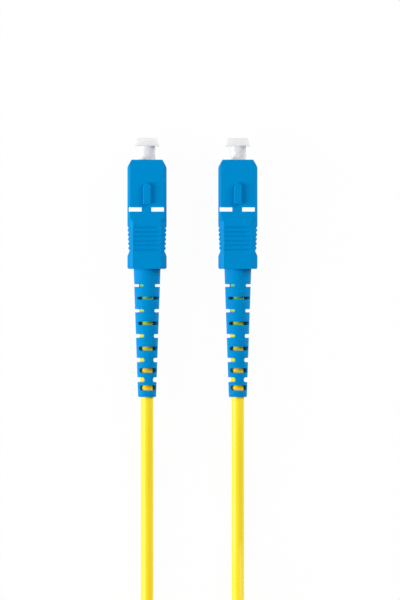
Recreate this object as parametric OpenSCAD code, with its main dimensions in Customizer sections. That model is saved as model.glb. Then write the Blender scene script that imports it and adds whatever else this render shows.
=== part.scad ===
// Fiber optic patch cord: two push-pull plugs of the SC pattern on one 3 mm class cable.
// Each plug is drawn on its own axis: X across it, Y up towards the key side, and Z back from the
// front edge of its outer housing. The plugs then lie side by side, key up, pointing along +Y.

/* [Layout] */
// Distance between the axes of the two plugs
pitch = 20.9; // [14:0.1:60]

/* [Outer housing] */
// Length of the outer housing
housing_l = 25.0; // [24:0.1:28]
// Width of the outer housing
housing_w = 9.0; // [8.9:0.1:10]
// Height of the outer housing
housing_h = 7.4; // [7.3:0.1:8.4]
// Thickness of its two side walls
side_wall = 0.65; // [0.55:0.05:0.75]
// Thickness of its top and bottom walls
top_wall = 0.85; // [0.5:0.05:0.9]
// Width of the sloped corner at each side of the front edge
front_slope_w = 0.95; // [0.3:0.05:1.2]
// Length of the sloped corner at each side of the front edge
front_slope_l = 1.7; // [0.5:0.1:2.1]
// Lead-in on the top and bottom of the front edge
front_lead = 0.35; // [0.1:0.05:0.45]
// Bevel of the long edges over the front part
front_bevel = 0.6; // [0.2:0.05:0.9]
// Width of the bevel of the long edges over the grip
grip_bevel_w = 1.27; // [0.6:0.05:1.4]
// Height of the bevel of the long edges over the grip
grip_bevel_h = 1.0; // [0.4:0.05:1.1]
// Where the grip's wider bevel begins
grip_s = 13.2; // [12.5:0.1:14]
// Radius of the rear corners
rear_r = 0.4; // [0.1:0.05:0.8]

/* [Key] */
// Width of the key
key_w = 1.7; // [1.2:0.1:2.4]
// Height of the key above the housing
key_h = 0.8; // [0.4:0.1:1.2]
// Length of the key
key_l = 4.85; // [3:0.05:6]
// Front end of the key
key_s = 5.35; // [3:0.05:7]
// Bevel along the key's top edges
key_bevel = 0.15; // [0.1:0.05:0.4]

/* [Grip] */
// Number of grip grooves on each wide face
groove_n = 6; // [4:1:7]
// Distance from one groove to the next
groove_pitch = 1.03; // [0.8:0.01:1.1]
// Middle of the first groove
groove_s = 15.63; // [15:0.01:16]
// Depth of a groove
groove_d = 0.2; // [0.1:0.05:0.4]
// Width of a groove at its mouth
groove_w = 0.6; // [0.3:0.05:0.7]
// Depth of the waist on each side
waist_d = 0.25; // [0.1:0.05:0.3]
// Depth of the notches between the teeth on the waist
tooth_d = 0.25; // [0.1:0.05:0.3]
// Length of the flare behind the waist
flare_l = 1.2; // [0.6:0.1:1.6]

/* [Release windows] */
// Front end of the side windows
window_s = 2.2; // [1.9:0.1:2.6]
// Length of the side windows
window_l = 5.8; // [4:0.1:6]
// Height of the side windows
window_h = 3.2; // [2.8:0.1:3.3]
// Length of the release cams inside the side walls
cam_l = 1.8; // [1:0.1:1.8]
// How far a cam stands in from its wall
cam_h = 0.5; // [0.2:0.05:0.6]
// Height of a cam
cam_w = 0.85; // [0.4:0.05:0.9]

/* [Travel] */
// How far the outer housing slides back to release
release_travel = 2.0; // [1:0.1:2]
// How far the ferrule floats back on its spring
float_travel = 0.8; // [0.4:0.1:1]

/* [Plug frame] */
// Gap between the plug frame and the outer housing on each side
slide_gap = 0.1; // [0.05:0.01:0.15]
// How far the plug frame's nose stands back from the housing's front edge
nose_recess = 0.3; // [0:0.1:1]
// Width of the plug frame's nose
nose_w = 6.0; // [5.8:0.1:6.2]
// Where the nose ends and the wider rear body begins
nose_end = 9.5; // [9.5:0.1:10.5]
// Rear end of the plug frame
frame_end = 17.0; // [16.8:0.1:17.4]
// Bevel of the plug frame's long edges
frame_bevel = 0.6; // [0.3:0.05:0.8]
// Bore of the nose, open to the adapter's sleeve
nose_bore = 4.7; // [4.5:0.05:4.8]
// Front of the ferrule's seat
seat_s = 6.0; // [5.6:0.1:6.3]
// Thickness of the ferrule's seat
seat_t = 0.8; // [0.5:0.1:1]
// How far a latch lug stands out from the nose
lug_h = 0.7; // [0.4:0.05:0.75]
// Height of a latch lug
lug_w = 2.4; // [1.6:0.1:2.6]
// Front end of the latch lugs
lug_s = 3.0; // [2.6:0.1:3.4]
// Length of the latch lugs
lug_l = 2.4; // [1.6:0.1:2.4]

/* [Ferrule and fiber] */
// Diameter of the ferrule
ferrule_d = 2.5; // [2.4:0.01:2.6]
// Length of the ferrule
ferrule_l = 10.5; // [10:0.1:10.7]
// How far the ferrule stands out of the housing
ferrule_proud = 1.2; // [0.8:0.1:1.6]
// Diameter of the glass fiber
glass_d = 0.125; // [0.12:0.005:0.13]
// Clearance of the glass fiber in the ferrule's bore, on the diameter
glass_gap = 0.002; // [0.001:0.001:0.01]
// Diameter of the buffered fiber
buffer_d = 0.9; // [0.8:0.05:1]
// Clearance around the buffered fiber, on the diameter
buffer_gap = 0.1; // [0.06:0.02:0.14]

/* [Flange and spring] */
// Wall of the flange's front hub
hub_wall = 0.4; // [0.25:0.05:0.5]
// Clearance of the hub in its seat, on the diameter
hub_gap = 0.2; // [0.1:0.02:0.3]
// Diameter of the flange's collar
collar_d = 4.4; // [4.3:0.05:4.5]
// Thickness of the flange's collar
collar_t = 1.6; // [1.2:0.1:1.8]
// Clearance of the collar in the plug frame, on the diameter
collar_gap = 0.3; // [0.2:0.02:0.36]
// Width of the collar's notches
notch_w = 0.8; // [0.6:0.05:1]
// Depth of the collar's notches
notch_d = 0.3; // [0.2:0.05:0.4]
// Wall of the flange's tail tube
tail_wall = 0.45; // [0.3:0.05:0.5]
// Thickness of the flange behind the ferrule
boss_floor = 0.5; // [0.3:0.1:1]
// How far the tail tube reaches into the stop ring
tail_reach = 1.1; // [0.6:0.1:2]
// Wire of the spring
wire_d = 0.45; // [0.35:0.01:0.5]
// Number of curls
curl_n = 6; // [5:1:6]
// Length of the spring in the plug at rest
spring_l = 6.0; // [5.8:0.1:6.2]
// Gap between the spring and the plug frame's bore
spring_gap = 0.275; // [0.2:0.005:0.3]

/* [Stop ring and crimp] */
// Clearance of the stop ring in the plug frame, on the diameter
sleeve_gap = 0.1; // [0.04:0.02:0.2]
// Clearance of the tail tube in the stop ring, on the diameter
tail_gap = 0.4; // [0.2:0.05:0.5]
// Height of the stop ring's barbs
barb_h = 0.45; // [0.3:0.05:0.6]
// Height of the barbs across the plug
barb_w = 1.4; // [1:0.1:1.8]
// Thickness of the stop ring's collar
stop_t = 1.15; // [0.8:0.05:1.2]
// Gap between the stop ring's collar and the bore of the outer housing
stop_gap = 0.2; // [0.15:0.01:0.3]
// Diameter of the crimp post
post_d = 3.8; // [3.6:0.05:3.9]
// Length of the crimp post
post_l = 5.8; // [5:0.1:6]
// Depth of the post's grooves
post_groove_d = 0.12; // [0.05:0.01:0.2]
// Number of grooves round the post
post_groove_n = 5; // [3:1:5]
// Thickness of the yarn layer on the post
yarn_t = 0.14; // [0.08:0.01:0.16]
// Gap on each side of the yarn layer
yarn_gap = 0.03; // [0.01:0.01:0.05]
// Wall of the crimp ring
crimp_wall = 0.3; // [0.2:0.02:0.32]
// Length of the crimp ring's wide part
crimp_l = 6.0; // [5.9:0.1:6.2]
// Length of its step down to the cable
crimp_step = 0.9; // [0.6:0.1:1]
// Length of the part that grips the cable
crimp_grip = 3.0; // [2:0.1:3]
// Depth of the crimp's hex flats
crimp_flat = 0.08; // [0.02:0.01:0.12]

/* [Cable] */
// Outer diameter of the cable
cable_d = 2.9; // [2.7:0.05:3]
// Wall of the cable's jacket
jacket_wall = 0.5; // [0.35:0.05:0.55]

/* [Boot] */
// Length of the boot behind the outer housing
boot_l = 29.6; // [29:0.1:34]
// Diameter of the boot at the outer housing
boot_d = 6.2; // [6.1:0.05:6.25]
// Diameter of the boot at its end
boot_end_d = 4.15; // [4:0.05:5]
// Diameter of the boot's nose inside the outer housing
boot_nose_d = 5.6; // [5.5:0.05:5.65]
// Gap between the boot and the crimp ring
boot_gap = 0.05; // [0.02:0.01:0.08]
// Gap between the cable and the boot's end
boot_end_gap = 0.1; // [0.05:0.01:0.15]
// Gap between the boot and the rear bore of the outer housing
boot_bore_gap = 0.125; // [0.1:0.005:0.15]
// Middle of the first slots, behind the outer housing
slot_first = 3.94; // [3.9:0.02:4.4]
// Middle of the last slots, ahead of the boot's end
slot_last = 2.11; // [1.8:0.01:3]
// How much each distance shrinks towards the boot's end
slot_tighten = 0.255; // [0.2:0.005:0.3]
// Height of the first slots
slot_h = 0.6; // [0.4:0.05:0.8]
// Height of the last slots
slot_h_end = 1.16; // [0.8:0.02:1.2]
// Number of rows of slots
slot_n = 10; // [6:1:10]
// Width of the webs between two slots, in degrees
slot_web = 54; // [40:1:70]
// Turn of the boot about its axis, in degrees
boot_turn = 12; // [0:0.5:45]

/* [Dust cap] */
// How far the cap stands out of the housing
cap_proud = 5.0; // [4.6:0.1:7]
// Wall of the cap's sleeve
cap_wall = 0.63; // [0.5:0.01:0.8]
// Clearance of the cap on the ferrule, on the diameter
cap_gap = 0.04; // [0.02:0.01:0.1]
// How far the sleeve reaches into the plug
cap_reach = 5.0; // [3:0.1:5]
// Thickness of the cap's head
cap_head_t = 1.96; // [1.4:0.02:2.4]
// Width of the head at its top
cap_head_w = 4.6; // [4.4:0.05:5]
// Width of the head at its underside
cap_base_w = 5.7; // [5.3:0.05:6]
// Depth of the head from front to back
cap_head_d = 4.2; // [4:0.1:5]
// How far the head's ears hang below its underside
cap_ear = 0.14; // [0.1:0.02:0.3]
// Thickness of the cap over the ferrule's end
cap_top_t = 2.3; // [2:0.1:2.6]

/* [Coil] */
// Radius of the outermost turn's middle line
coil_r = 22.2; // [21:0.1:26]
// Distance of the coil's middle behind the origin
coil_y = 102.9; // [100:0.1:130]
// Length of the straight stretch on each side of the joint between the coil and a free stretch
coil_lead = 2.5; // [2.4:0.1:4]
// Where the free stretches begin to spread towards the coil, behind the origin
spread_y = 75.5; // [72:0.5:80]
// Number of turns
coil_turns = 6.5; // [6.5:1:8.5]
// Least gap between turns that lie side by side
turn_gap = 0.42; // [0.41:0.01:0.6]
// Gap between the two layers
layer_gap = 0.44; // [0.42:0.01:0.6]
// Thickness of the coil's straps
tie_t = 0.6; // [0.4:0.05:0.8]
// Width of the straps
tie_w = 4.0; // [3:0.5:6]
// Gap between a strap and the coil
tie_gap = 0.25; // [0.1:0.05:0.4]

/* [Hidden] */

$fn = 64;
eps = 0.01;

// Colours
blue = "#0690CE";
boot_blue = "#0A8CCB";
milky = "#ECEEF0";
natural = "#F2F0E6";
zirconia = "#F8F6F0";
nickel = "#B9BBBD";
steel = "#9EA2A6";
yellow = "#F7E02A";
yarn_yellow = "#E8B93A";
glass = "#DDEBF2";
black = "#26272A";

// Places along a plug's axis, behind the housing's front edge
total_l = cap_proud + housing_l + boot_l;
front_y = total_l / 2 - cap_proud;
axis_z = housing_h / 2;
cavity_end = frame_end + slide_gap;
boot_end = housing_l + boot_l;
boot_front = cavity_end + release_travel + 0.2;
small_bore_end = groove_s + groove_n * groove_pitch;
boot_step = small_bore_end + release_travel + 0.3;
collar_front = seat_s + seat_t;
collar_back = collar_front + collar_t;
ferrule_back = ferrule_l - ferrule_proud;
boss_back = ferrule_back + boss_floor;
spring_back = collar_back + spring_l;
tail_back = spring_back + tail_reach;
stop_front = frame_end + slide_gap / 2;
post_front = stop_front + stop_t;
post_back = post_front + post_l;
crimp_front = post_front + 0.1;
step_front = crimp_front + crimp_l;
step_back = step_front + crimp_step;
crimp_back = step_back + crimp_grip;
jacket_front = step_back + 0.2;
buffer_front = ferrule_back + 0.2;
buffer_back = boot_end - 2 * float_travel;

// Sections
cavity_w = housing_w - 2 * side_wall;
cavity_h = housing_h - 2 * top_wall;
body_w = cavity_w - 2 * slide_gap;
body_h = cavity_h - 2 * slide_gap;
chamber_d = collar_d + collar_gap;
spring_d = chamber_d - 2 * spring_gap - wire_d;
hub_d = ferrule_d + 2 * hub_wall;
boss_d = spring_d - wire_d - 0.25;
buffer_bore = buffer_d + buffer_gap;
tail_d = buffer_bore + 2 * tail_wall;
stop_bore = tail_d + tail_gap;
sleeve_d = chamber_d - sleeve_gap;
crimp_bore = post_d + 2 * yarn_t + 4 * yarn_gap;
crimp_d = crimp_bore + 2 * crimp_wall;
grip_bore = cable_d + 0.04;
boot_bore = crimp_d + 2 * boot_gap;
small_bore = boot_nose_d + 0.3;
stop_collar_d = small_bore - 2 * stop_gap;
rear_bore = boot_d + 2 * boot_bore_gap;
jacket_bore = cable_d - 2 * jacket_wall;
yarn_bore = buffer_bore + 0.04;
cap_bore = ferrule_d + cap_gap;
cap_d = cap_bore + 2 * cap_wall;

// The coil's turns
half_turns = coil_turns / 2;
turn_step = cable_d + turn_gap;
layer_step = cable_d + layer_gap;
coil_lift = tie_t + 0.05;
coil_z = coil_lift + cable_d / 2;
coil_rings = 24;
climb_from = half_turns - 0.25;

// The free stretches: straight out of the boot and down to the floor, then aside in two equal bends
exit_y = front_y - boot_end;
floor_z = cable_d / 2 + 0.05;
spread_x = coil_r - pitch / 2;
spread_l = coil_y - spread_y - 2 * coil_lead;
spread_turn = 2 * atan(spread_x / spread_l);
spread_r = spread_l / (2 * sin(spread_turn));

function ease(u) = let (v = min(1, max(0, u))) v * v * (3 - 2 * v);

// Height of a free stretch: plug A's meets the coil's lower layer, and plug B's its upper one
function run_z(side, y) =
    let (
        sunk = axis_z + (floor_z - axis_z) * ease((exit_y - cable_d - y) / 24),
        low_rise = (coil_z - floor_z) * ease((-spread_y - y) / spread_l),
        high_rise = (coil_z + layer_step - floor_z) * ease((13.5 - spread_y - y) / 22)
    )
    sunk + (side < 0 ? low_rise : high_rise);

// Plan of a free stretch, from its boot to the coil
run_plan = concat(
    [for (k = [0:8]) [pitch / 2, exit_y - (spread_y + exit_y) * k / 9]],
    [for (k = [0:6])
        let (a = spread_turn * k / 6)
        [pitch / 2 + spread_r * (1 - cos(a)), -spread_y - spread_r * sin(a)]],
    [for (k = [5:-1:0])
        let (a = spread_turn * k / 6)
        [coil_r - spread_r * (1 - cos(a)), -spread_y - spread_l + spread_r * sin(a)]],
    [[coil_r, coil_lead - coil_y]]
);
function run_route(side) = [for (q = run_plan) [side * q[0], q[1], run_z(side, q[1])]];

// ---------------------------------------------------------------- shared shapes

// A plug's axis in the object's frame; side is -1 for plug A and 1 for plug B
module plug_at(side) {
    translate([side * pitch / 2, front_y, axis_z]) rotate([90, 0, 0]) children();
}

// A rectangle with bevelled corners
module bevelled(w, h, bevel_w, bevel_h) {
    polygon([
        for (q = [[1, 1], [-1, 1], [-1, -1], [1, -1]], first = [true, false])
            (q[0] * q[1] > 0) == first
                ? [q[0] * w / 2, q[1] * (h / 2 - bevel_h)]
                : [q[0] * (w / 2 - bevel_w), q[1] * h / 2]
    ]);
}

// Sweeps an outline in X and Z along Y
module across_y(depth) {
    rotate([90, 0, 0]) linear_extrude(depth, center = true) children();
}

// Sweeps an outline in Z and Y along X
module across_x(width) {
    rotate([0, -90, 0]) linear_extrude(width, center = true) children();
}

// A straight length of an outline in X and Y, from one place on the axis to another
module along(from, to) {
    translate([0, 0, from]) linear_extrude(to - from) children();
}

// A round bar on the axis
module bar(d, from, to) {
    translate([0, 0, from]) cylinder(d = d, h = to - from);
}

// A turned piece from pairs of radius and place
module turned(points) {
    rotate_extrude() polygon(points);
}

function unit(v) = v / norm(v);

// Direction of travel at one point of a path
function heading(path, i) =
    i == 0 ? unit(path[1] - path[0])
    : i == len(path) - 1 ? unit(path[i] - path[i - 1])
    : unit(unit(path[i + 1] - path[i]) + unit(path[i] - path[i - 1]));

// One ring of a tube, square to its path, with a corner straight down
function tube_ring(path, i, d, sides) =
    let (ahead = heading(path, i), side = unit(cross(ahead, [0, 0, 1])), up = cross(side, ahead))
    [for (k = [0:sides - 1])
        let (a = 90 + 360 * k / sides)
        path[i] + d / 2 * (cos(a) * side + sin(a) * up)];

// One unbroken tube along a path
module tube(path, d, sides) {
    rings = len(path);
    corners = [for (i = [0:rings - 1]) each tube_ring(path, i, d, sides)];
    walls = [
        for (i = [0:rings - 2], k = [0:sides - 1])
            let (n = (k + 1) % sides, a = i * sides + k, b = i * sides + n)
            each [[a, b + sides, b], [a, a + sides, b + sides]]
    ];
    last = (rings - 1) * sides;
    ends = [for (k = [1:sides - 2]) each [[0, k, k + 1], [last, last + k + 1, last + k]]];
    polyhedron(corners, concat(walls, ends));
}

// ---------------------------------------------------------------- outer housing

// Half of the housing's plan outline: the grooves run on round the waist, as notches between teeth
function tooth_x(k) = housing_w / 2 - waist_d * k / groove_n;
function groove_at(k) = groove_s + k * groove_pitch;
function housing_side() = concat(
    [[housing_w / 2 - front_slope_w, 0], [housing_w / 2, front_slope_l]],
    [for (k = [0:groove_n - 1]) each [
        [tooth_x(k), groove_at(k) - groove_w / 2], [tooth_x(k) - tooth_d, groove_at(k) - groove_w / 6],
        [tooth_x(k + 1) - tooth_d, groove_at(k) + groove_w / 6],
        if (k < groove_n - 1) [tooth_x(k + 1), groove_at(k) + groove_w / 2]
    ]],
    [[housing_w / 2, groove_at(groove_n - 1) + groove_w / 6 + flare_l]],
    [for (a = [0:15:90])
        [housing_w / 2 - rear_r * (1 - cos(a)), housing_l - rear_r * (1 - sin(a))]]
);

module housing_plan() {
    side = housing_side();
    n = len(side);
    polygon(concat(side, [for (i = [0:n - 1]) [-side[n - 1 - i][0], side[n - 1 - i][1]]]));
}

// The outer form: plan outline, lead-in from the front, and bevelled long edges
module housing_form() {
    intersection() {
        across_y(housing_h + 1) housing_plan();
        across_x(housing_w + 1) polygon([
            [0, housing_h / 2 - front_lead], [2 * front_lead, housing_h / 2],
            [housing_l, housing_h / 2], [housing_l, -housing_h / 2],
            [2 * front_lead, -housing_h / 2], [0, -housing_h / 2 + front_lead]
        ]);
        union() {
            along(-1, grip_s) bevelled(housing_w, housing_h, front_bevel, front_bevel);
            along(grip_s, housing_l + 1) bevelled(housing_w, housing_h, grip_bevel_w, grip_bevel_h);
        }
    }
}

// The key that lets the plug in one way up
module key() {
    top = housing_h / 2 + key_h;
    intersection() {
        across_y(2 * top) union() {
            translate([-key_w / 2, key_s + key_w / 2]) square([key_w, key_l - key_w / 2]);
            translate([0, key_s + key_w / 2]) circle(d = key_w);
        }
        across_x(key_w + 1) polygon([
            [key_s, housing_h / 2 - top_wall / 2], [key_s, housing_h / 2 + key_h / 2],
            [key_s + key_h, top], [key_s + key_l, top], [key_s + key_l, housing_h / 2 - top_wall / 2]
        ]);
        along(key_s - 1, key_s + key_l + 1) polygon([
            [-key_w / 2, 0], [-key_w / 2, top - key_bevel], [-key_w / 2 + key_bevel, top],
            [key_w / 2 - key_bevel, top], [key_w / 2, top - key_bevel], [key_w / 2, 0]
        ]);
    }
}

// One grip groove across both wide faces, out to their bevels
module grip_groove(s) {
    for (face = [-1, 1])
        across_x(housing_w - 2 * grip_bevel_w + 0.2) polygon([
            [s - groove_w / 2, face * (housing_h / 2 + eps)],
            [s - groove_w / 6, face * (housing_h / 2 - groove_d)],
            [s + groove_w / 6, face * (housing_h / 2 - groove_d)],
            [s + groove_w / 2, face * (housing_h / 2 + eps)]
        ]);
}

// The cams that push the adapter's hooks off the latch lugs
module release_cams() {
    cam_back = nose_end - release_travel - slide_gap;
    cam_front = cam_back - cam_l;
    for (side = [-1, 1], level = [-1, 1])
        translate([0, level * (window_h / 2 + cam_w / 2 + 0.1), 0])
            across_y(cam_w) polygon([
                [side * (cavity_w / 2 + side_wall / 2), cam_front],
                [side * cavity_w / 2, cam_front],
                [side * (cavity_w / 2 - cam_h), cam_front + cam_h],
                [side * (cavity_w / 2 - cam_h), cam_back],
                [side * (cavity_w / 2 + side_wall / 2), cam_back]
            ]);
}

module outer_housing() {
    color(blue) {
        difference() {
            union() {
                housing_form();
                key();
            }
            along(-1, cavity_end)
                bevelled(cavity_w, cavity_h, frame_bevel - slide_gap, frame_bevel - slide_gap);
            bar(small_bore, cavity_end - 1, small_bore_end + eps);
            bar(rear_bore, small_bore_end, housing_l + 1);
            for (i = [0:groove_n - 1]) grip_groove(groove_at(i));
            translate([-housing_w / 2 - 1, -window_h / 2, window_s])
                cube([housing_w + 2, window_h, window_l]);
        }
        release_cams();
    }
}

// ---------------------------------------------------------------- plug frame

barb_back = frame_end - 0.8;
barb_l = 1.2;

// The lugs that the adapter's hooks close behind
module latch_lugs() {
    for (side = [-1, 1])
        across_y(lug_w) polygon([
            [side * (nose_w / 2 - 0.3), lug_s], [side * nose_w / 2, lug_s],
            [side * (nose_w / 2 + lug_h), lug_s + 2 * lug_h],
            [side * (nose_w / 2 + lug_h), lug_s + lug_l], [side * (nose_w / 2 - 0.3), lug_s + lug_l]
        ]);
}

// The ribs that keep the flange from turning
module turn_ribs() {
    rib_w = notch_w - 0.2;
    rib_in = collar_d / 2 - notch_d + 0.1;
    for (level = [-1, 1])
        translate([-rib_w / 2, level > 0 ? rib_in : -chamber_d / 2 - 0.1, collar_front])
            cube([rib_w, chamber_d / 2 + 0.1 - rib_in, collar_t - 0.2]);
}

module plug_frame() {
    color(natural) {
        difference() {
            union() {
                along(nose_recess, nose_end) bevelled(nose_w, body_h, frame_bevel, frame_bevel);
                along(nose_end, frame_end) bevelled(body_w, body_h, frame_bevel, frame_bevel);
                latch_lugs();
            }
            bar(nose_bore, nose_recess - 1, seat_s);
            bar(hub_d + hub_gap, seat_s - 1, collar_front + 1);
            bar(chamber_d, collar_front, frame_end + 1);
            translate([-housing_w / 2, -barb_w / 2 - 0.1, barb_back - barb_l - 0.1])
                cube([housing_w, barb_w + 0.2, barb_l + 0.2]);
        }
        turn_ribs();
    }
}

// ---------------------------------------------------------------- ferrule, flange and spring

module ferrule() {
    glass_bore = glass_d + glass_gap;
    color(zirconia) turned([
        [glass_bore / 2, -ferrule_proud], [ferrule_d / 2 - 0.3, -ferrule_proud],
        [ferrule_d / 2, -ferrule_proud + 0.45], [ferrule_d / 2, ferrule_back - 0.2],
        [ferrule_d / 2 - 0.2, ferrule_back], [buffer_d / 2, ferrule_back],
        [glass_bore / 2, ferrule_back - 0.8]
    ]);
}

module ferrule_flange() {
    color(nickel) difference() {
        turned([
            [ferrule_d / 2, seat_s], [hub_d / 2, seat_s], [hub_d / 2, collar_front],
            [collar_d / 2, collar_front], [collar_d / 2, collar_back], [boss_d / 2, collar_back],
            [boss_d / 2, boss_back - 0.2], [boss_d / 2 - 0.2, boss_back], [tail_d / 2, boss_back],
            [tail_d / 2, tail_back], [buffer_bore / 2, tail_back], [buffer_bore / 2, ferrule_back],
            [ferrule_d / 2, ferrule_back]
        ]);
        for (turn = [0:90:270])
            rotate([0, 0, turn])
                translate([-notch_w / 2, collar_d / 2 - notch_d, collar_front - 1])
                    cube([notch_w, notch_d + 1, collar_t + 2]);
    }
}

module spring() {
    steps = curl_n * 8;
    rise = spring_l - wire_d;
    color(steel) tube(
        [for (i = [0:steps])
            [spring_d / 2 * cos(i * 45), spring_d / 2 * sin(i * 45),
             collar_back + wire_d / 2 + rise * i / steps]],
        wire_d, 6
    );
}

// ---------------------------------------------------------------- stop ring, crimp and cable

module stop_ring() {
    land = post_l / post_groove_n;
    color(nickel) {
        turned(concat(
            [[stop_bore / 2, spring_back], [sleeve_d / 2 - 0.1, spring_back],
             [sleeve_d / 2, spring_back + 0.1], [sleeve_d / 2, stop_front],
             [stop_collar_d / 2, stop_front], [stop_collar_d / 2, post_front], [post_d / 2, post_front]],
            [for (k = [0:post_groove_n - 1], corner = [0:3])
                [post_d / 2 - (corner == 1 || corner == 2 ? post_groove_d : 0),
                 post_front + land * (k + 0.3 + corner * 0.15)]],
            [[post_d / 2, post_back], [stop_bore / 2, post_back]]
        ));
        for (side = [-1, 1])
            across_y(barb_w) polygon([
                [side * (sleeve_d / 2 - 0.3), barb_back - barb_l],
                [side * (sleeve_d / 2 - 0.1), barb_back - barb_l],
                [side * (sleeve_d / 2 + barb_h), barb_back - 0.3],
                [side * (sleeve_d / 2 + barb_h), barb_back], [side * (sleeve_d / 2 - 0.3), barb_back]
            ]);
    }
}

module crimp_ring() {
    color(nickel) difference() {
        turned([
            [crimp_bore / 2, crimp_front], [crimp_d / 2, crimp_front], [crimp_d / 2, step_front],
            [grip_bore / 2 + crimp_wall, step_back], [grip_bore / 2 + crimp_wall, crimp_back],
            [grip_bore / 2, crimp_back], [grip_bore / 2, step_back], [crimp_bore / 2, step_front]
        ]);
        difference() {
            bar(crimp_d + 1, crimp_front + 0.7, step_front - 0.7);
            translate([0, 0, crimp_front])
                cylinder(d = (crimp_d - 2 * crimp_flat) / cos(30), h = crimp_l, $fn = 6);
        }
    }
}

module aramid_yarn() {
    over = post_d / 2 + yarn_gap;
    in = yarn_bore / 2;
    out = jacket_bore / 2 - 0.02;
    color(yarn_yellow) turned([
        [over, crimp_front + 0.3], [over + yarn_t, crimp_front + 0.3], [over + yarn_t, post_back],
        [out, jacket_front], [out, boot_end], [in, boot_end], [in, jacket_front],
        [over, post_back + 0.1]
    ]);
}

module cable_jacket() {
    color(yellow) turned([
        [jacket_bore / 2, jacket_front], [cable_d / 2, jacket_front], [cable_d / 2, boot_end],
        [jacket_bore / 2, boot_end]
    ]);
}

module fiber_buffer() {
    color(yellow) bar(buffer_d, buffer_front, buffer_back);
}

module glass_fiber() {
    color(glass) bar(glass_d, -ferrule_proud, buffer_front);
}

// ---------------------------------------------------------------- boot

// How far a row of slots moves forward as the rows close up towards the boot's end
function tightened(i) = let (late = max(0, i - 5)) slot_tighten * late * (late + 1) / 2;
slot_pitch = (boot_l - slot_first - slot_last + tightened(slot_n - 1)) / (slot_n - 1);

// Middle and height of one row of slots
function row_s(i) = housing_l + slot_first + i * slot_pitch - tightened(i);
function row_h(i) = slot_h + (slot_h_end - slot_h) * i / (slot_n - 1);

// One slot with round ends, cut from the outside to the bore
module boot_slot(turn, s, h) {
    half = 90 - slot_web / 2;
    round = asin(h / boot_d);
    rotate([0, 0, turn - half + round])
        rotate_extrude(angle = 2 * (half - round)) translate([0.6, s - h / 2]) square([boot_d, h]);
    for (end = [-1, 1])
        rotate([0, 0, turn + end * (half - round)])
            translate([0.6, 0, s]) rotate([0, 90, 0]) cylinder(d = h - 2 * eps, h = boot_d);
}

module boot() {
    color(boot_blue) difference() {
        turned([
            [boot_bore / 2, boot_front], [boot_nose_d / 2 - 0.1, boot_front],
            [boot_nose_d / 2, boot_front + 0.3], [boot_nose_d / 2, boot_step],
            [boot_d / 2, boot_step + 0.3], [boot_d / 2, housing_l], [boot_end_d / 2, boot_end - 0.15],
            [boot_end_d / 2 - 0.15, boot_end], [cable_d / 2 + boot_end_gap, boot_end],
            [grip_bore / 2 + crimp_wall + 2 * boot_gap, crimp_back + 0.4],
            [boot_bore / 2, crimp_back]
        ]);
        for (i = [0:slot_n - 1], back = [0, 180])
            boot_slot(back + (i % 2) * 90 - boot_turn, row_s(i), row_h(i));
    }
}

// ---------------------------------------------------------------- dust cap

module dust_cap() {
    top = -cap_proud;
    under = top + cap_head_t;
    side = [
        [cap_head_w / 2, top], [cap_base_w / 2, under - cap_ear], [cap_base_w / 2 - 0.1, under],
        [cap_base_w / 2 - 0.45, under], [cap_base_w / 2 - 0.65, under - cap_ear]
    ];
    n = len(side);
    color(milky) difference() {
        union() {
            intersection() {
                across_y(cap_head_d)
                    polygon(concat(side, [for (i = [0:n - 1]) [-side[n - 1 - i][0], side[n - 1 - i][1]]]));
                across_x(cap_base_w + 1) polygon([
                    [top, cap_head_d / 2 - 0.25], [top + 0.25, cap_head_d / 2], [0, cap_head_d / 2],
                    [0, -cap_head_d / 2], [top + 0.25, -cap_head_d / 2], [top, -cap_head_d / 2 + 0.25]
                ]);
            }
            bar(cap_d, under - cap_head_t / 2, cap_reach);
        }
        bar(cap_bore, top + cap_top_t, cap_reach + 1);
        translate([0, 0, cap_reach - 0.3]) cylinder(d1 = cap_bore, d2 = cap_bore + 0.8, h = 0.4);
    }
}

// ---------------------------------------------------------------- cord

// A point of the coil after a number of turns: in at a steady rate, up a layer, and out again
function coil_point(t) =
    let (a = 180 + 360 * t, r = coil_r - turn_step * min(t, coil_turns - t))
    [r * cos(a), r * sin(a) - coil_y, coil_z + layer_step * ease((t - climb_from) / 0.5)];
coil_path = concat(
    [[-coil_r, coil_lead - coil_y, coil_z]],
    [for (i = [0:coil_turns * coil_rings]) coil_point(i / coil_rings)],
    [[coil_r, coil_lead - coil_y, coil_z + layer_step]]
);

// The least gap between two stretches of the cord that lie half a turn or more apart
coil_least = min([
    for (i = [0:len(coil_path) - 1], j = [i + 1:len(coil_path) - 1])
        if (j - i > coil_rings / 2) norm(coil_path[i] - coil_path[j])
]);
run_least = min([
    for (side = [-1, 1], p = run_route(side), q = coil_path)
        if (norm(p - [side * coil_r, coil_lead - coil_y, p[2]]) > 2 * cable_d
            && norm(q - [side * coil_r, coil_lead - coil_y, p[2]]) > 2 * cable_d) norm(p - q)
]);
echo(coil_gap = coil_least - cable_d, run_gap = run_least - cable_d);
echo(spring_gap_between_curls = (spring_l - wire_d) / curl_n - wire_d);

module cord_run(route) {
    color(yellow) tube(route, cable_d, 8);
}

module cord_coil() {
    color(yellow) tube(coil_path, cable_d, 6);
}

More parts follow.
